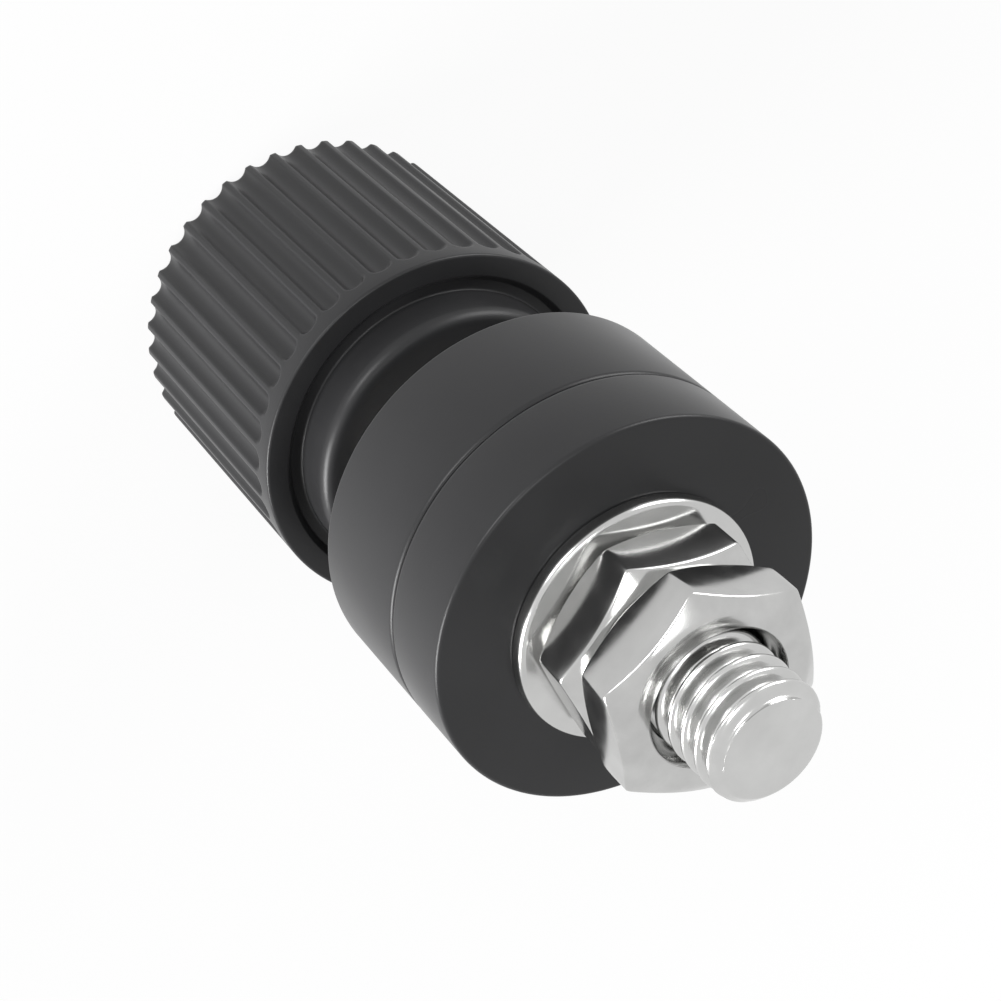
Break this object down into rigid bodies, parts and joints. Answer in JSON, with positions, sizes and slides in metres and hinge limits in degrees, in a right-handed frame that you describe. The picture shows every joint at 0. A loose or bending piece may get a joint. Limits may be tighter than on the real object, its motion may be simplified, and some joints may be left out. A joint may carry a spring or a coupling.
{
  "type": "binding post",
  "caption": "Panel-mounting binding post: fluted insulated screw cap, wire hole and plug socket in a stepped post, two insulating bushes, washer and hex nuts on an M6 stud.",
  "frame": {"origin": "centre of the cap's flat front face, on which the post stands", "axes": "+Z along the axis of the post, from the cap's front face to the free end of the stud; +X through a corner of the clamp nut and along the wire hole"},
  "size_m": [0.02, 0.02, 0.0452],
  "materials": {
    "cap_plastic": "satin moulded black thermoplastic",
    "insulator_plastic": "satin moulded black thermoplastic",
    "insert_brass": "turned, unplated",
    "post_plating": "turned brass, bright nickel plated",
    "washer_plating": "stamped steel, bright nickel plated",
    "nut_plating": "cold formed steel, bright nickel plated"
  },
  "bodies": {
    "panel_side": {"post": "post_plating", "front_insulator": "insulator_plastic", "rear_insulator": "insulator_plastic", "flat_washer": "washer_plating", "clamp_nut": "nut_plating"},
    "insert": {"cap_insert": "insert_brass"},
    "cap": {"grip_cap": "cap_plastic"},
    "outer_nut": {"terminal_nut": "nut_plating"}
  },
  "joints": [
    {"name": "cap_travel", "type": "slide", "parent": "panel_side", "child": "insert", "axis": [0, 0, -1], "range_m": [-0.0036, 0.00401]},
    {"name": "cap_turn", "type": "hinge", "parent": "insert", "child": "cap", "pos_m": [0, 0, 0.01], "axis": [0, 0, -1], "range_deg": [-1288.8, 1440]},
    {"name": "nut_travel", "type": "slide", "parent": "panel_side", "child": "outer_nut", "axis": [0, 0, 1], "range_m": [0, 0.0038]}
  ],
  "couplings": [
    {"joint": "cap_travel", "follows": "cap_turn", "m_per_rad": 0.00015915}
  ]
}
